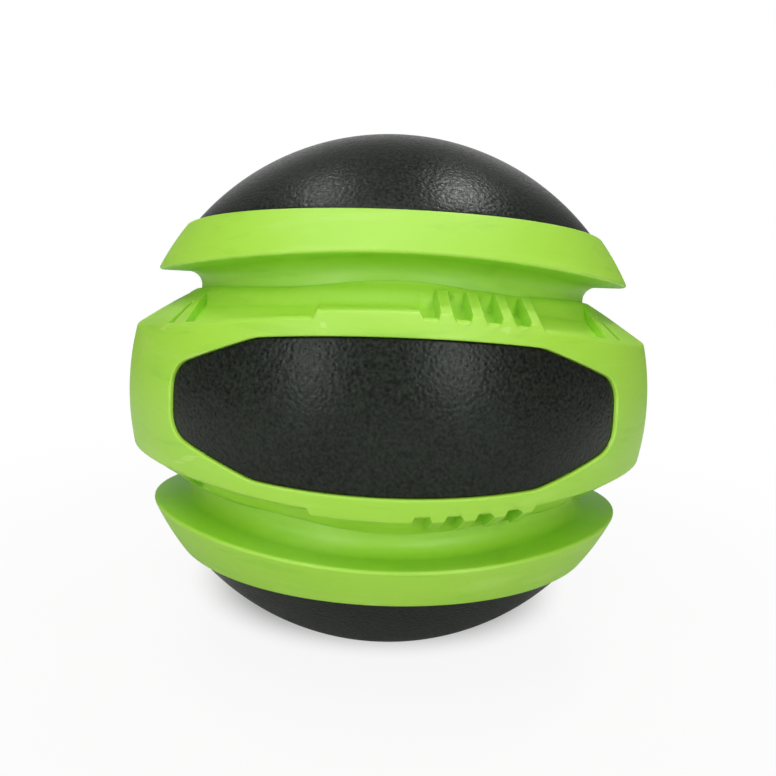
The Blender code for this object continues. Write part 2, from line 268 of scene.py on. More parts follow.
def all_round(top, end):
    """A closed loop from its top line, left to right, and its right end, downwards, mirrored both ways."""
    return np.concatenate([top, end, top[::-1] * (1, -1), -end])


# %% [markdown]
# ## The belt
# The belt is the ball's most worked piece: one injection moulding whose outer face swells round each window
# and narrows at the pillars between them. Behind its edge the sloping shoulders are sunk over each window.
# Plain ribs cross the sunk field, and each pillar's block has a slot beside it. It could be cut with
# booleans, but those leave ragged triangles on a glossy curve. Instead, spokes run from each window's edge
# out to the belt's own edge, and everything is skinned along them.

# %% Grips on the belt's slopes
GRIP_RAISE = 0.7 * MM  # of a rib's inner end over the plain slope
GRIP_EDGE_LIFT = 0.88 * MM  # how much higher the belt's edge lies at a grip: a bare plate, then ribs
GRIP_START_ANGLE = math.radians(-14.3)  # from the window's middle
GRIP_END_ANGLE = math.radians(24.3)
GRIP_RIB_ANGLE = math.radians(2.45)
GRIP_POCKET_ANGLE = math.radians(2.9)
GRIP_POCKETS = 4
POCKET_INNER_END = 0.17  # shares of the slope, from the collar outwards
GRIP_FLANK = math.radians(0.3)  # half the width of a grip's sloping side
GRIP_END_FLANK = 0.03
RECESS_DEPTH = 1.25 * MM  # of the sunk field, which leaves a rim along the belt's edge
RECESS_END_ANGLE = math.radians(41.0)
RECESS_INNER_END = 0.22
RECESS_INNER_FLANK = 0.14
RECESS_OUTER_END = 0.90
RECESS_OUTER_FLANK = 0.02
SLOT_DEPTH = 1.6 * MM  # each pillar's block has a slot beside each sunk field
SLOT_ANGLE = math.radians(46.8)
SLOT_HALF_ANGLE = math.radians(0.9)
SLOT_INNER_END = 0.40


def pocket_spans():
    """(start, end) angles of the pockets at one window, each with a rib after it."""
    pitch = GRIP_POCKET_ANGLE + GRIP_RIB_ANGLE
    first = GRIP_END_ANGLE - GRIP_POCKETS * pitch
    return [(first + i * pitch, first + i * pitch + GRIP_POCKET_ANGLE) for i in range(GRIP_POCKETS)]


def soft_step(value, edge, flank):
    """0 before an edge, 1 after it, with a smooth rise across its flank."""
    share = np.clip((value - edge) / (2 * flank) + 0.5, 0.0, 1.0)
    return share * share * (3 - 2 * share)


def rib_cover(azimuth):
    """1 on the ribs, each of which follows a pocket."""
    ribs = 0.0
    for _, start in pocket_spans():
        end = start + GRIP_RIB_ANGLE
        ribs = ribs + soft_step(azimuth, start, GRIP_FLANK) - soft_step(azimuth, end, GRIP_FLANK)
    return ribs


def lifted_cover(azimuth):
    """1 where the belt's edge is lifted: along the bare plate before the pockets, and on the ribs."""
    first_pocket = pocket_spans()[0][0]
    start = soft_step(azimuth, GRIP_START_ANGLE, GRIP_FLANK)
    plate = start - soft_step(azimuth, first_pocket, GRIP_FLANK)
    return plate + rib_cover(azimuth)


def sunk_cover(azimuth, share):
    """1 in the sunk field behind the belt's edge, which the ribs cross."""
    within = 1 - soft_step(np.abs(azimuth), RECESS_END_ANGLE, GRIP_FLANK)
    inner = soft_step(share, RECESS_INNER_END, RECESS_INNER_FLANK)
    outer = 1 - soft_step(share, RECESS_OUTER_END, RECESS_OUTER_FLANK)
    return (within - rib_cover(azimuth)) * inner * outer


def slot_cover(azimuth, share):
    """1 in the slots of the pillars' blocks."""
    across = 1 - soft_step(np.abs(np.abs(azimuth) - SLOT_ANGLE), SLOT_HALF_ANGLE, GRIP_FLANK)
    outer = 1 - soft_step(share, RECESS_OUTER_END, RECESS_OUTER_FLANK)
    return across * soft_step(share, SLOT_INNER_END, GRIP_END_FLANK) * outer


def slope_rise(azimuth, share):
    """How far the relief stands above the plain slope, at a share of the way from the collar to the edge."""
    rib = rib_cover(azimuth) * soft_step(share, POCKET_INNER_END, GRIP_END_FLANK) * (1 - share)
    sunk = RECESS_DEPTH * sunk_cover(azimuth, share) + SLOT_DEPTH * slot_cover(azimuth, share)
    return GRIP_RAISE * rib - sunk


print("pockets at each window:", len(pocket_spans()), "on each slope")

# %% Columns round a sector, closer together at the grips' edges
COLUMN_STEP = math.radians(0.8)
FLANK_COLUMNS = (-1.0, -0.4, 0.4, 1.0)


def sector_columns():
    edges = [GRIP_START_ANGLE, GRIP_END_ANGLE] + [angle for span in pocket_spans() for angle in span]
    beside = (RECESS_END_ANGLE, SLOT_ANGLE - SLOT_HALF_ANGLE, SLOT_ANGLE + SLOT_HALF_ANGLE)
    edges += [side * angle for side in (-1, 1) for angle in beside]
    close = np.array([edge + side * GRIP_FLANK for edge in edges for side in FLANK_COLUMNS])
    even = np.linspace(-SECTOR / 2, SECTOR / 2, round(SECTOR / COLUMN_STEP) + 1)
    apart = [angle for angle in even if np.abs(close - angle).min() > COLUMN_STEP / 3]
    return np.sort(np.concatenate([close, apart]))


columns = sector_columns()
print("columns in a sector:", len(columns))

# %% The belt's edge, and how round it is
EDGE_ROUND_AT_WINDOW = 0.45 * MM
EDGE_ROUND_AT_PILLAR = 0.9 * MM


def pillar_share(azimuth):
    """0 at a window's middle and 1 at a pillar's."""
    return (1 - np.cos(len(WINDOWS) * azimuth)) / 2


def belt_edge(azimuth):
    """How high the belt's edge lies, with its lifted stretches."""
    plain = BELT_EDGE_AT_WINDOW - BELT_NARROWING * pillar_share(azimuth)
    return plain + GRIP_EDGE_LIFT * lifted_cover(azimuth)


def edge_round(azimuth):
    return EDGE_ROUND_AT_WINDOW + (EDGE_ROUND_AT_PILLAR - EDGE_ROUND_AT_WINDOW) * pillar_share(azimuth)


def slope_frame(azimuth):
    """The slope's start on the outer sphere, its direction and length, and how its edge is rounded."""
    edge = belt_edge(azimuth)
    start = np.stack([np.sqrt(BALL_RADIUS**2 - edge**2), edge], axis=-1)
    run = np.array([COLLAR_RADIUS, COLLAR_HEIGHT]) - start
    length = np.linalg.norm(run, axis=-1)
    direction = run / length[..., None]
    latitude = np.arcsin(edge / BALL_RADIUS)
    climb = np.stack([-np.sin(latitude), np.cos(latitude)], axis=-1)
    turn = np.arccos(np.sum(climb * direction, axis=-1))
    cut = edge_round(azimuth) * np.tan(turn / 2)
    return start, direction, length, latitude - cut / BALL_RADIUS, turn, cut


print("belt's half height in mm at window and pillar:", belt_edge(np.array([0.0, SECTOR / 2])) / MM)

# %% The belt's rim: round the edge, up the slope, over the collar and down its bore
EDGE_STEPS = 8
SLOPE_STEPS = 22
SLOPE_OUTER_SHARE = 0.95  # the edge's round starts beyond this share
SLOPE_INNER_SHARE = 0.05  # and the collar's round within this one
COLLAR_ROUND = 0.25 * MM
COLLAR_STEPS = 3
FLARE_SHARE = 0.40  # inside this share the slope flares up to the groove's wall, most at a window's middle
FLARE_RISE = 1.2 * MM


def slope_shares():
    """Shares of the slope, from its outer end to the collar, closer together where the relief ends."""
    ends = (POCKET_INNER_END, SLOT_INNER_END)
    close = [end + side * GRIP_END_FLANK for end in ends for side in FLANK_COLUMNS]
    close += [RECESS_OUTER_END + side * RECESS_OUTER_FLANK for side in FLANK_COLUMNS]
    even = np.linspace(SLOPE_INNER_SHARE, SLOPE_OUTER_SHARE, SLOPE_STEPS)
    apart = [share for share in even if np.abs(np.array(close) - share).min() > RECESS_OUTER_FLANK / 2]
    return np.sort(np.concatenate([close, apart]))[::-1]


def flare(azimuth, share):
    """How far the slope's inner end is lifted towards the groove's wall, as (reach, height)."""
    lift = FLARE_RISE * np.clip(np.cos(len(WINDOWS) * azimuth), 0.0, None) ** 2
    lift = lift * np.clip(1 - share / FLARE_SHARE, 0.0, None) ** 2
    return np.stack([np.zeros_like(lift), lift], axis=-1)


def belt_rim(azimuth):
    """Rows of points from the outer face to the core's seat, one column for each azimuth."""
    start, direction, length, latitude, turn, cut = slope_frame(azimuth)
    face_end = BALL_RADIUS * np.stack([np.cos(latitude), np.sin(latitude)], axis=-1)
    climb = np.stack([-np.sin(latitude), np.cos(latitude)], axis=-1)
    handle = (4 / 3 * np.tan(turn / 4) * edge_round(azimuth))[:, None]
    rows = rounded(face_end, climb, start + direction * cut[:, None], direction, handle, EDGE_STEPS)
    normal = np.stack([direction[:, 1], -direction[:, 0]], axis=-1)
    for share in slope_shares():
        plain = start + direction * (length * (1 - share))[:, None]
        rise = slope_rise(azimuth, share)[:, None]
        rows.append(plain + normal * rise + flare(azimuth, share))
    top = flare(azimuth, 0.0)
    collar = np.array([COLLAR_RADIUS, COLLAR_HEIGHT]) + top
    inwards = np.broadcast_to([-1.0, 0.0], start.shape)
    before = collar - direction * COLLAR_ROUND
    after = collar + inwards * COLLAR_ROUND
    rows += rounded(before, direction, after, inwards, COLLAR_ROUND / 2, COLLAR_STEPS)
    bore_edge = ((COLLAR_RADIUS, COLLAR_HEIGHT), (BORE_RADIUS, COLLAR_HEIGHT), (BORE_RADIUS, 0.0))
    rows += [point + top for point in fillet(*bore_edge, COLLAR_ROUND, COLLAR_STEPS)]
    seat = math.sqrt(SEAT_RADIUS**2 - REBATE_HEIGHT**2)
    for corner in ((BORE_RADIUS, REBATE_HEIGHT), (seat, REBATE_HEIGHT)):
        rows.append(np.broadcast_to(corner, start.shape))
    return np.stack(rows)


rim = belt_rim(columns)
print("rim rows and columns:", rim.shape[:2])

# %% Bend the rim's columns, so that pockets and recesses run straight out, as the slide in the mould does
BEND_END = RECESS_END_ANGLE  # columns up to here run parallel to the window's own direction
BEND_START_REACH = COLLAR_RADIUS + 0.1 * MM
BEND_FULL_REACH = COLLAR_RADIUS + 0.9 * MM


def rim_azimuths():
    """Azimuths of the rim's points: parallel columns on the slope, plain radial ones elsewhere."""
    reach = rim[..., 0]
    turn = np.abs(columns)
    inside = np.minimum(turn, BEND_END)
    parallel = np.arcsin(np.clip(reach[0] * np.sin(inside) / reach, -1.0, 1.0))
    beyond = (turn - inside) / (SECTOR / 2 - BEND_END)
    straight = np.sign(columns) * (parallel + beyond * (SECTOR / 2 - parallel))
    middle = (BEND_START_REACH + BEND_FULL_REACH) / 2
    bend = soft_step(reach, middle, (BEND_FULL_REACH - BEND_START_REACH) / 2)
    return columns + (straight - columns) * bend


bent = rim_azimuths()
print("largest bend in degrees:", np.degrees(np.abs(bent - columns).max()))

# %% Spokes from the belt's seat, through the window's edge and out over the face
END_STEPS = 28
SEAT_STEPS = 2
FACE_STEPS = 12
WALL_STEPS = 3
EDGE_FILLET = 0.3 * MM
FILLET_STEPS = 6
end_shares = np.arange(1, END_STEPS) / END_STEPS


def loop_normals(loop):
    """Outward directions of a closed loop that runs over its top from left to right."""
    forward = np.roll(loop, -1, axis=0) - np.roll(loop, 1, axis=0)
    outward = np.stack([-forward[:, 1], forward[:, 0]], axis=1)
    return outward / np.linalg.norm(outward, axis=1, keepdims=True)


def sector_border(top_heights):
    """A loop round a sector: the belt's edges above and below, and the pillars' middles at both sides."""
    top = np.stack([columns * BALL_RADIUS, top_heights], axis=1)
    side = np.full(END_STEPS - 1, SECTOR / 2 * BALL_RADIUS)
    end = np.stack([side, top_heights[-1] * (1 - 2 * end_shares)], axis=1)
    return all_round(top, end)


def window_loop():
    return all_round(along(top_line, columns / SECTOR + 0.5), along(right_end, end_shares))


edge_loop = window_loop()
edge_outward = loop_normals(edge_loop)
face_border = sector_border(BALL_RADIUS * np.sin(slope_frame(columns)[3]))
seat_border = sector_border(np.full(len(columns), REBATE_HEIGHT))
print("spokes in a sector:", len(edge_loop))

# %% Skin the belt
def on_belt(loop, radius, turned):
    return on_sphere(radius, loop[:, 0] / BALL_RADIUS + turned, loop[:, 1])


def spoke_rows(turned):
    """Loops round one window: the seat, the brim's pocket, the window's wall, its round edge and the face."""
    pocket = edge_loop + edge_outward * (BRIM_WIDTH + CLEARANCE)
    wall = BALL_RADIUS - EDGE_FILLET - COVER_RADIUS
    rows = []
    for t in np.linspace(0.0, 1.0, SEAT_STEPS + 1):
        rows.append(on_belt(seat_border + (pocket - seat_border) * t, SEAT_RADIUS, turned))
    rows.append(on_belt(pocket, COVER_RADIUS, turned))
    for i in range(WALL_STEPS):
        rows.append(on_belt(edge_loop, COVER_RADIUS + wall * i / WALL_STEPS, turned))
    for angle in np.linspace(0.0, math.pi / 2, FILLET_STEPS + 1):
        grown = edge_loop + edge_outward * EDGE_FILLET * (1 - math.cos(angle))
        rows.append(on_belt(grown, BALL_RADIUS - EDGE_FILLET * (1 - math.sin(angle)), turned))
    for t in np.arange(1, FACE_STEPS + 1) / FACE_STEPS:
        rows.append(on_belt(grown + (face_border - grown) * t, BALL_RADIUS, turned))
    return np.stack(rows)


def build_belt():
    grids = []
    for i in range(len(WINDOWS)):
        grids.append((spoke_rows(i * SECTOR), True))
        upper = in_section(rim[..., 0], bent + i * SECTOR, rim[..., 1])
        grids += [(upper, False), (upper * (1, 1, -1), False)]
    return skinned("belt_moulding", grids)


belt = build_belt()

# %% [markdown]
# ## The rings
# Above and below the belt sits a ring whose lip overhangs the bite groove. The lip isn't flat: it rises
# over each window and dips at each pillar, in step with the belt. A turned profile could not do that, so
# the profile is drawn anew at each azimuth and skinned all round.

# %% The ring's profile at an azimuth
LIP_ROUND = 0.35 * MM
MOUTH_ROUND = 0.25 * MM
GROOVE_FILLET = 2.2 * MM
RING_COLUMNS = 288
RING_FACE_STEPS = 24
FLANGE_STEPS = 4
GROOVE_STEPS = 12
RING_SEAT_STEPS = 6
RING_BRIM_STEPS = 2
mouth_latitude = math.asin(MOUTH_HEIGHT / BALL_RADIUS)
brim_latitude = mouth_latitude - BRIM_WIDTH / COVER_RADIUS


def between(start, end, steps):
    """Points strictly between two others."""
    return [start + (end - start) * i / steps for i in range(1, steps)]


def ring_profile(azimuth):
    """A ring's section: from its mouth down the face, in along the flange, and back up inside."""
    flange = FLANGE_HEIGHT + LIP_WAVE * math.cos(len(WINDOWS) * azimuth)
    face = arc(BALL_RADIUS, mouth_latitude, math.asin(flange / BALL_RADIUS), RING_FACE_STEPS)
    foot = arc(COVER_RADIUS, mouth_latitude, mouth_latitude, 1)[0]
    corner = np.array([GROOVE_RADIUS, flange])
    skirt = np.array([GROOVE_RADIUS, SKIRT_END])
    mouth_edge = fillet(foot, face[0], face[1], MOUTH_ROUND)
    lip = fillet(face[-2], face[-1], corner, LIP_ROUND)
    groove = fillet(face[-1], corner, skirt, GROOVE_FILLET, GROOVE_STEPS)
    seat = arc(SEAT_RADIUS, math.asin(SKIRT_END / SEAT_RADIUS), brim_latitude, RING_SEAT_STEPS)
    brim = arc(COVER_RADIUS, brim_latitude, mouth_latitude, RING_BRIM_STEPS)
    flange_line = between(lip[-1], groove[0], FLANGE_STEPS)
    return mouth_edge + face[2:-2] + lip + flange_line + groove + [skirt] + seat + brim


def ring_grid(side):
    azimuths = math.tau * np.arange(RING_COLUMNS) / RING_COLUMNS
    sections = np.stack([ring_profile(a) for a in azimuths], axis=1)
    closed = np.concatenate([sections, sections[:1]])
    return in_section(closed[..., 0], azimuths, closed[..., 1] * side)


upper_ring = skinned("upper_ring_moulding", [(ring_grid(1), True)])
lower_ring = skinned("lower_ring_moulding", [(ring_grid(-1), True)])

# %% [markdown]
# ## The caps
# The black ball shows as a dome at each pole, held by a brim under the ring's mouth. A dome is a turned
# form, so one profile from the pole to the brim and back along the core is swept round. The pole is
# slightly flattened, which lets the ball stand.

# %% The cap's profile, swept round
POLE_FLAT_RADIUS = 6.0 * MM
POLE_ROUND = 30.0 * MM
CAP_EDGE_ROUND = 0.5 * MM
CAP_COLUMNS = 192
DOME_STEPS = 60
LAND_STEPS = 8
POLE_STEPS = 4
LEDGE_STEPS = 3
UNDER_STEPS = 20
PAST_LAND = 4  # the pole's round runs on towards this point of the dome
ON_AXIS = 0.0


def cap_profile():
    """A cap's section: from the pole over the dome, round its edge and brim, and back underneath."""
    mouth = mouth_latitude + CLEARANCE / COVER_RADIUS
    brim = brim_latitude + CLEARANCE / COVER_RADIUS
    flat = math.acos(POLE_FLAT_RADIUS / BLACK_RADIUS)
    dome = arc(BLACK_RADIUS, flat, mouth, DOME_STEPS)
    pole = np.array([ON_AXIS, dome[0][1]])
    land = fillet(pole, dome[0], dome[PAST_LAND], POLE_ROUND, LAND_STEPS)
    ledge = arc(BRIM_RADIUS, mouth, brim, LEDGE_STEPS)
    edge = fillet(dome[-2], dome[-1], ledge[0], CAP_EDGE_ROUND)
    under = arc(SEAT_RADIUS, brim, math.pi / 2, UNDER_STEPS)
    clear = [point for point in dome[1:-2] if point[0] > land[-1][0] + CLEARANCE]
    return [pole] + between(pole, land[0], POLE_STEPS) + land + clear + edge + ledge + under


def cap_grid(side):
    azimuths = math.tau * np.arange(CAP_COLUMNS) / CAP_COLUMNS
    profile = np.stack(cap_profile())[:, None, :]
    return in_section(profile[..., 0], azimuths, profile[..., 1] * side)


top_cap = skinned("top_cap_dome", [(cap_grid(1), True)])
bottom_cap = skinned("bottom_cap_dome", [(cap_grid(-1), True)])

# %% [markdown]
# ## The window pads
# Each window is filled by a black pad on a wider brim that the belt's wall hides and holds. The pad uses
# the window's own loop, set in by a hair, and shrinks it step by step towards the middle of its face, so
# the face's edge keeps an even round all the way.

# %% Skin the pads
PAD_RADIUS = 44.55 * MM  # the pads stand a little higher than the caps
PAD_EDGE_ROUND = 0.25 * MM
PAD_GAP = 0.04 * MM  # the soft foam fills its window up to this
PAD_FACE_STEPS = 26
PAD_BACK_STEPS = 5


def pad_rows(turned):
    """Loops from the middle of the pad's back, out round its brim, and up over its face to the middle."""
    brim = edge_loop + edge_outward * BRIM_WIDTH
    face = edge_loop - edge_outward * PAD_GAP
    rows = [on_belt(brim * t, SEAT_RADIUS, turned) for t in np.linspace(0.0, 1.0, PAD_BACK_STEPS + 1)]
    rows += [on_belt(brim, BRIM_RADIUS, turned), on_belt(face, BRIM_RADIUS, turned)]
    for angle in np.linspace(0.0, math.pi / 2, FILLET_STEPS + 1):
        inset = face - edge_outward * PAD_EDGE_ROUND * (1 - math.cos(angle))
        rows.append(on_belt(inset, PAD_RADIUS - PAD_EDGE_ROUND * (1 - math.sin(angle)), turned))
    for t in np.linspace(1.0, 0.0, PAD_FACE_STEPS + 1)[1:]:
        rows.append(on_belt(inset * t, PAD_RADIUS, turned))
    return np.stack(rows)


pads = {}
for i, side in enumerate(WINDOWS):
    pads[side] = skinned(f"{side}_window_pad", [(pad_rows(i * SECTOR), True)])

# %% [markdown]
# ## Which body each piece rides on
# The ball has no joints, so all pieces ride on the one body. Each stands for its CAD node, which it
# hides. The black pieces are moulded foam.

# %% Ride and replace
GREEN_SLOT = "lime_rubber"
BLACK_SLOT = "black_grained_foam"
green_pieces = {"belt": belt, "upper_ring": upper_ring, "lower_ring": lower_ring}
black_pieces = {"top_cap": top_cap, "bottom_cap": bottom_cap}
black_pieces.update({f"window_pad_{side}": pad for side, pad in pads.items()})

for slot, pieces in ((GREEN_SLOT, green_pieces), (BLACK_SLOT, black_pieces)):
    for node, piece in pieces.items():
        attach(piece, "root")
        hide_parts(node)
print("pieces on the body:", len(green_pieces) + len(black_pieces))

# %% [markdown]
# ## Finishes
# A finish is a small tree of nodes: patterns in millimetres feed colour, roughness and bump of one shader.
# One function adds a node with its settings and links, and one turns written colours into the linear ones
# that Blender works in. Patterns use object coordinates, so they stay on the ball when it turns.

# %% Helpers for finishes
NOISE = "ShaderNodeTexNoise"
RANGE = "ShaderNodeMapRange"
BUMP = "ShaderNodeBump"
MATH = "ShaderNodeMath"
MIX = "ShaderNodeMix"
MIX_A, MIX_B, MIX_RESULT = 6, 7, 2  # a colour mix's sockets
PRINCIPLED = "ShaderNodeBsdfPrincipled"
OUTPUT = "ShaderNodeOutputMaterial"


def linear(hex_colour):
    """An sRGB hex colour as linear red, green, blue and alpha."""
    channels = [int(hex_colour[i:i + 2], 16) / 255 for i in (1, 3, 5)]
    return [c / 12.92 if c <= 0.04045 else ((c + 0.055) / 1.055) ** 2.4 for c in channels] + [1.0]


def per_metre(millimetres):
    """A pattern's scale that gives features of this size."""
    return 1.0 / (millimetres * MM)


def add_node(tree, kind, inputs=None, **settings):
    """Adds a node, sets it up and fills its sockets with values or links. A node gives its first output."""
    node = tree.nodes.new(kind)
    for key, value in settings.items():
        setattr(node, key, value)
    for socket, value in (inputs or {}).items():
        source = value.outputs[0] if isinstance(value, bpy.types.Node) else value
        if isinstance(source, bpy.types.NodeSocket):
            tree.links.new(source, node.inputs[socket])
        else:
            node.inputs[socket].default_value = source
    return node


def new_finish(name):
    """An empty material, its tree, and the object coordinates its patterns use."""
    material = bpy.data.materials.new(name)
    material.use_nodes = True
    material.node_tree.nodes.clear()
    place = add_node(material.node_tree, "ShaderNodeTexCoord").outputs["Object"]
    return material, material.node_tree, place


print("middle grey as linear:", [round(channel, 3) for channel in linear("#777777")[:3]])
print("a 2 mm pattern repeats", per_metre(2), "times a metre")

# %% [markdown]
# ### Lime green rubber
# The armour is injection moulded thermoplastic rubber: satin, a little waxy and bright. Looked at closely
# it has paler and deeper flow streaks that run round the ball, fine scuffs, and a soft unevenness from the
# polished mould. Its round edges are also painted paler: a painted highlight, as if the rounds caught the
# light. Each of these is a layer of colour over the last one, so a loop mixes them in turn.

# %% Layers of the rubber's colour
LIME = "#ADE343"
LIME_DEEP = "#9FDA32"
LIME_PALE = "#C8F07C"
LIME_STREAK = "#8ED02C"
SCUFF = "#D3EFA0"
CLOUD_WIDTH = 22  # the widths of patterns are in millimetres
FLOW_WIDTH = 4
FLOW_STRETCH = (0.25, 0.25, 1.6)  # long across, short in height


def rubber_colour(tree, place, scuff):
    """Lime clouds, flow streaks, a painted highlight on the round edges, and scuffs, one over the other."""
    cloud = add_node(tree, NOISE, {"Vector": place, "Scale": per_metre(CLOUD_WIDTH), "Detail": 3.0})
    stretch = add_node(tree, "ShaderNodeMapping", {"Vector": place, "Scale": FLOW_STRETCH})
    streaks = {"Vector": stretch, "Scale": per_metre(FLOW_WIDTH), "Detail": 4.0, "Distortion": 0.6}
    flow = add_node(tree, NOISE, streaks)
    # pointiness feeds the painted highlight: convex edges are painted paler, as if they caught the light
    bend = add_node(tree, "ShaderNodeNewGeometry").outputs["Pointiness"]
    layers = (
        # pattern, its values where the layer starts and is full, the layer's strength there, colour
        (cloud, 0.0, 1.0, 1.0, LIME),
        (flow, 0.46, 0.26, 0.25, LIME_PALE),
        (flow, 0.57, 0.72, 0.6, LIME_STREAK),
        # painted highlight on the convex edges
        (bend, 0.51, 0.60, 0.4, LIME_PALE),
        (scuff, 0.64, 0.80, 0.30, SCUFF),
    )
    colour = linear(LIME_DEEP)
    for pattern, start, full, strength, layer in layers:
        rise = {"Value": pattern, "From Min": start, "From Max": full, "To Max": strength}
        share = add_node(tree, RANGE, rise)
        tones = {"Factor": share, MIX_A: colour, MIX_B: linear(layer)}
        colour = add_node(tree, MIX, tones, data_type="RGBA").outputs[MIX_RESULT]
    return colour


print("layers start from", LIME_DEEP)

# %% Injection moulded thermoplastic rubber
SCUFF_WIDTH = 0.6
WAVE_WIDTH = 3.5
SATIN_WIDTH = 0.35


def moulded_rubber():
    material, tree, place = new_finish("lime_thermoplastic_rubber_satin_moulded")
    marks = {"Vector": place, "Scale": per_metre(SCUFF_WIDTH), "Detail": 6.0, "Roughness": 0.7}
    scuff = add_node(tree, NOISE, marks)
    rough = {"Value": scuff, "From Min": 0.3, "From Max": 0.8, "To Min": 0.46, "To Max": 0.62}
    gloss = add_node(tree, RANGE, rough)
    wave = add_node(tree, NOISE, {"Vector": place, "Scale": per_metre(WAVE_WIDTH), "Detail": 2.0})
    wavy = add_node(tree, BUMP, {"Height": wave, "Strength": 0.10, "Distance": 0.25 * MM})
    skin = add_node(tree, NOISE, {"Vector": place, "Scale": per_metre(SATIN_WIDTH), "Detail": 3.0})
    satin = add_node(tree, BUMP, {"Height": skin, "Strength": 0.12, "Distance": 0.03 * MM, "Normal": wavy})
    shader = add_node(tree, PRINCIPLED, {
        "Base Color": rubber_colour(tree, place, scuff),
        "Roughness": gloss,
        "Normal": satin,
        "IOR": 1.5,
        "Specular IOR Level": 0.8,
        "Subsurface Weight": 0.12,
        "Subsurface Radius": (0.9, 1.0, 0.2),
        "Subsurface Scale": 1.0 * MM,
    })
    add_node(tree, OUTPUT, {"Surface": shader})
    return material


lime_rubber = moulded_rubber()
print("finish:", lime_rubber.name)

# %% [markdown]
# ### Black grained foam
# The ball inside is moulded foam with a closed skin. The mould was spark eroded, so the skin has a fine,
# pebbly grain, which breaks each highlight up into sparkles. The grain is about half a millimetre wide.

# %% Spark grained foam skin
FOAM_BLACK = "#0E100D"
FOAM_WORN = "#272C25"
FOAM_SHEEN = "#F8FFFB"
BLOOM_WIDTH = 9
GRAIN_WIDTH = 0.5
SPECKLE_WIDTH = 0.45
PIT_WIDTH = 0.25


def grained_foam():
    material, tree, place = new_finish("black_foam_spark_grained_skin")
    bloom = add_node(tree, NOISE, {"Vector": place, "Scale": per_metre(BLOOM_WIDTH), "Detail": 4.0})
    speckle = add_node(tree, NOISE, {"Vector": place, "Scale": per_metre(SPECKLE_WIDTH), "Detail": 1.0})
    pits = add_node(tree, NOISE, {"Vector": place, "Scale": per_metre(PIT_WIDTH), "Detail": 2.0})
    cells = {"Vector": place, "Scale": per_metre(GRAIN_WIDTH)}
    pebbles = add_node(tree, "ShaderNodeTexVoronoi", cells, feature="SMOOTH_F1")
    tone = add_node(tree, MIX, {"Factor": 0.25, "A": speckle, "B": bloom})
    worn = add_node(tree, RANGE, {"Value": tone, "From Min": 0.33, "From Max": 0.67})
    tones = {"Factor": worn, MIX_A: linear(FOAM_BLACK), MIX_B: linear(FOAM_WORN)}
    colour = add_node(tree, MIX, tones, data_type="RGBA").outputs[MIX_RESULT]
    rough = {"Value": speckle, "From Min": 0.35, "From Max": 0.65, "To Min": 0.29, "To Max": 0.40}
    gloss = add_node(tree, RANGE, rough)
    coarse = add_node(tree, BUMP, {"Height": pebbles, "Strength": 0.42, "Distance": 0.14 * MM}, invert=True)
    grain = add_node(tree, BUMP, {"Height": pits, "Strength": 0.18, "Distance": 0.06 * MM, "Normal": coarse})
    shader = add_node(tree, PRINCIPLED, {
        "Base Color": colour,
        "Roughness": gloss,
        "Normal": grain,
        "IOR": 1.45,
        "Specular IOR Level": 0.22,
        "Specular Tint": linear(FOAM_SHEEN),
    })
    add_node(tree, OUTPUT, {"Surface": shader})
    return material


black_foam = grained_foam()
print("finish:", black_foam.name)

# %% [markdown]
# ### Dark core rubber
# The hollow core lies behind the armour and hardly shows. It is plain cured rubber: dull, dark grey, with a
# dusty bloom.

# %% Cured rubber
CORE_DARK = "#1C1C1C"
CORE_BLOOM = "#333331"
CORE_BLOOM_WIDTH = 5
DUST_WIDTH = 0.8


def cured_rubber():
    material, tree, place = new_finish("dark_cured_rubber_with_bloom")
    bloom = add_node(tree, NOISE, {"Vector": place, "Scale": per_metre(CORE_BLOOM_WIDTH), "Detail": 5.0})
    tones = {"Factor": bloom, MIX_A: linear(CORE_DARK), MIX_B: linear(CORE_BLOOM)}
    colour = add_node(tree, MIX, tones, data_type="RGBA").outputs[MIX_RESULT]
    dust = add_node(tree, NOISE, {"Vector": place, "Scale": per_metre(DUST_WIDTH), "Detail": 2.0})
    dull = add_node(tree, BUMP, {"Height": dust, "Strength": 0.2, "Distance": 0.05 * MM})
    shader = add_node(tree, PRINCIPLED, {
        "Base Color": colour,
        "Roughness": 0.7,
        "Normal": dull,
        "IOR": 1.52,
    })
    add_node(tree, OUTPUT, {"Surface": shader})
    return material


core_rubber = cured_rubber()
print("finish:", core_rubber.name)

# %% Put the finishes on
for material, pieces in ((lime_rubber, green_pieces), (black_foam, black_pieces)):
    for piece in pieces.values():
        piece.data.materials.append(material)
core_nodes = [node for name, node in frame["nodes"].items() if name.startswith("core_")]
for node in core_nodes:
    node.data.materials.clear()
    node.data.materials.append(core_rubber)
print("core nodes finished:", len(core_nodes))

# %% [markdown]
# ## Studio
# The photograph is a white cut-out under soft boxes: two overhead, to the left and right, which put two
# soft glints on the dome, two upright strips in front, which put two glints in the window, and a broad key
# above the camera. A fill behind the ball only lifts its far side. The camera sees floor and world as
# white, and the floor keeps a shadow. Reflections see a white sweep behind the ball and a dim room
# elsewhere.

# %% What the floor and the world share
SMOOTH = {"interpolation_type": "SMOOTHSTEP"}


def within(tree, share, limits):
    """A share that fades smoothly to nothing past each (value, (end, start)) limit."""
    for value, (end, start) in limits:
        rise = add_node(tree, RANGE, {"Value": value, "From Min": end, "From Max": start}, **SMOOTH)
        share = add_node(tree, MATH, {0: share, 1: rise}, operation="MULTIPLY")
    return share


def to_the_side(tree, place):
    """How far a place or direction lies to the left or right."""
    across = add_node(tree, "ShaderNodeSeparateXYZ", {"Vector": place}).outputs["X"]
    return add_node(tree, MATH, {0: across}, operation="ABSOLUTE")


def in_mirrors(tree, path):
    """1 for rays that come from a glossy or a clear surface."""
    rays = {0: path["Is Glossy Ray"], 1: path["Is Transmission Ray"]}
    return add_node(tree, MATH, rays, operation="MAXIMUM")


print("fades are smooth:", SMOOTH["interpolation_type"])

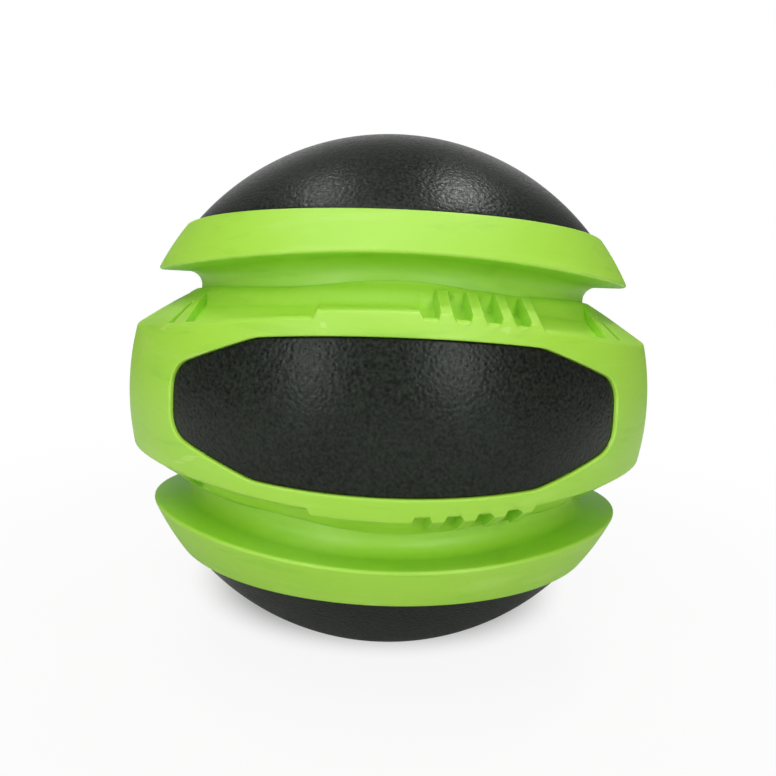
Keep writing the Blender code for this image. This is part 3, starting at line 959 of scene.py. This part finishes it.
# %% Floor
FLOOR_HALF = 3.0
FLOOR_WHITE = "#DCDCDA"
FIBRE_WIDTH = 2
SHADOW_SHARE = 0.10  # how much of the floor's real shading the camera sees beside the ball
SHADOW_REACH = 200 * MM  # where the floor has faded to plain white
SHADOW_BACK = 24 * MM  # the shadow's core lies behind the ball's foot, since the lamps stand in front
SHADOW_CORE = (26 * MM, 42 * MM)  # radii between which the core that the camera sees in full ends
MIRROR_CORE = (60 * MM, 160 * MM)  # the same for reflections
SWEEP_SIDE = (400 * MM, 150 * MM)  # in reflections the white paper ends at the sides, between these
floor_height = cad_box[0][2]


def white_floor():
    material, tree, place = new_finish("matt_white_paper_sweep")
    fibre = add_node(tree, NOISE, {"Vector": place, "Scale": per_metre(FIBRE_WIDTH)})
    paper = add_node(tree, BUMP, {"Height": fibre, "Strength": 0.05, "Distance": 0.1 * MM})
    matt = add_node(tree, "ShaderNodeBsdfDiffuse", {"Color": linear(FLOOR_WHITE), "Normal": paper})
    bright = add_node(tree, "ShaderNodeEmission", {"Strength": 1.0})
    core = (0.0, SHADOW_BACK, floor_height)
    away = add_node(tree, "ShaderNodeVectorMath", {0: place, 1: core}, operation="DISTANCE").outputs["Value"]
    paling = {"Value": away, "From Min": 0.0, "From Max": SHADOW_REACH, "To Min": 1.0 - SHADOW_SHARE}
    beside = add_node(tree, RANGE, paling, **SMOOTH)
    direct = within(tree, beside, [(away, SHADOW_CORE)])
    path = add_node(tree, "ShaderNodeLightPath").outputs
    limits = [(away, MIRROR_CORE), (to_the_side(tree, place), SWEEP_SIDE)]
    mirrored = within(tree, in_mirrors(tree, path), limits)
    white = add_node(tree, MIX, {"Factor": path["Is Camera Ray"], "A": mirrored, "B": direct})
    mixed = add_node(tree, "ShaderNodeMixShader", {"Fac": white, 1: matt, 2: bright})
    add_node(tree, OUTPUT, {"Surface": mixed})
    return material


def build_floor():
    sides = ((-1, -1), (1, -1), (1, 1), (-1, 1))
    corners = [(x * FLOOR_HALF, y * FLOOR_HALF, floor_height) for x, y in sides]
    mesh = bpy.data.meshes.new("floor")
    mesh.from_pydata(corners, [], [(0, 1, 2, 3)])
    mesh.materials.append(white_floor())
    floor = bpy.data.objects.new("floor", mesh)
    bpy.context.scene.collection.objects.link(floor)
    return floor


floor = build_floor()
print("floor at mm:", floor_height / MM)

# %% World
AMBIENT = 0.03  # what lights matt surfaces
DIM = 0.17  # how bright the ceiling and the room behind the camera are in reflections
WHITE = (1.0, 1.0, 1.0, 1.0)
BACKDROP_TOP = (0.75, 0.45)  # heights of a direction between which the white backdrop starts, downwards
BACKDROP_BACK = (-0.25, 0.25)  # how far back a direction must point to meet it
BACKDROP_SIDE = (0.58, 0.26)  # and how little to the side


def white_world():
    world = bpy.data.worlds.new("white_studio")
    bpy.context.scene.world = world
    world.use_nodes = True
    tree = world.node_tree
    tree.nodes.clear()
    place = add_node(tree, "ShaderNodeTexCoord").outputs["Generated"]
    point = add_node(tree, "ShaderNodeSeparateXYZ", {"Vector": place}).outputs
    aside = to_the_side(tree, place)
    limits = [(point["Z"], BACKDROP_TOP), (point["Y"], BACKDROP_BACK), (aside, BACKDROP_SIDE)]
    studio = add_node(tree, MIX, {"Factor": within(tree, 1.0, limits), "A": DIM, "B": 1.0})
    path = add_node(tree, "ShaderNodeLightPath").outputs
    unseen = add_node(tree, MIX, {"Factor": in_mirrors(tree, path), "A": AMBIENT, "B": studio})
    strength = add_node(tree, MIX, {"Factor": path["Is Camera Ray"], "A": unseen, "B": 1.0})
    white = add_node(tree, "ShaderNodeBackground", {"Color": WHITE, "Strength": strength})
    add_node(tree, "ShaderNodeOutputWorld", {"Surface": white})


white_world()
print("ambient light:", AMBIENT)

# %% Soft boxes
LAMPS = (
    # name, azimuth, elevation, distance, width, height, watts
    ("overhead_left", -105.0, 68.0, 0.70, 0.10, 0.10, 0.52),
    ("overhead_right", 105.0, 70.0, 0.70, 0.10, 0.10, 1.0),
    ("front_left", -33.6, 13.0, 0.70, 0.08, 0.34, 1.3),
    ("front_right", 24.4, 15.0, 0.70, 0.08, 0.34, 1.5),
    ("key", -18.0, 58.0, 0.70, 0.50, 0.40, 1.95),
    ("back_fill", 180.0, 35.0, 0.70, 0.40, 0.30, 1.6),
)


def soft_box(name, azimuth, elevation, distance, width, height, watts):
    """An area lamp that faces the ball from an azimuth and an elevation in degrees."""
    light = bpy.data.lights.new(name, "AREA")
    light.shape = "RECTANGLE"
    light.size = width
    light.size_y = height
    light.energy = watts
    lamp = bpy.data.objects.new(name, light)
    turn = math.radians(azimuth)
    rise = math.radians(elevation)
    away = Vector((math.sin(turn) * math.cos(rise), -math.cos(turn) * math.cos(rise), math.sin(rise)))
    lamp.location = away * distance
    lamp.rotation_euler = away.to_track_quat("Z", "Y").to_euler()
    bpy.context.scene.collection.objects.link(lamp)
    return lamp


lamps = {row[0]: soft_box(*row) for row in LAMPS}
lamps["back_fill"].visible_glossy = False  # the fill only lifts the far side and puts no glint on the dome
print("soft boxes:", len(lamps))

# %% [markdown]
# ## Camera
# The camera was fitted to the ball's outline in the photograph: very close, a little above the equator, and
# rolled by two degrees. The small shift is what the photograph's framing needs, since the ball isn't
# centred.

# %% Camera
IMAGE_SIZE = 776
SENSOR_WIDTH = 36.0
FOCAL_PIXELS = 647.333
CAMERA_DISTANCE = 121.333 * MM
CAMERA_ELEVATION = math.radians(5.65)
CAMERA_YAW = math.radians(1.95)
CAMERA_PITCH = math.radians(2.74)
CAMERA_ROLL = math.radians(2.28)
CAMERA_SHIFT = (-0.0026, -0.049)
NEAREST_SEEN = 1.0 * MM


def build_camera():
    data = bpy.data.cameras.new("camera")
    data.sensor_width = SENSOR_WIDTH
    data.lens = FOCAL_PIXELS / IMAGE_SIZE * SENSOR_WIDTH
    data.shift_x, data.shift_y = CAMERA_SHIFT
    data.clip_start = NEAREST_SEEN
    camera = bpy.data.objects.new("camera", data)
    bpy.context.scene.collection.objects.link(camera)
    level = CAMERA_DISTANCE * math.cos(CAMERA_ELEVATION)
    height = CAMERA_DISTANCE * math.sin(CAMERA_ELEVATION)
    place = Vector((-level * math.sin(CAMERA_YAW), -level * math.cos(CAMERA_YAW), height))
    stand = Matrix.Translation(place)
    for angle, axis in ((-CAMERA_YAW, "Z"), (math.pi / 2 - CAMERA_PITCH, "X"), (CAMERA_ROLL, "Z")):
        stand = stand @ Matrix.Rotation(angle, 4, axis)
    camera.matrix_world = stand
    bpy.context.scene.camera = camera
    return camera


camera = build_camera()
bpy.context.scene.view_settings.view_transform = "Standard"
print("lens in mm:", round(camera.data.lens, 2))
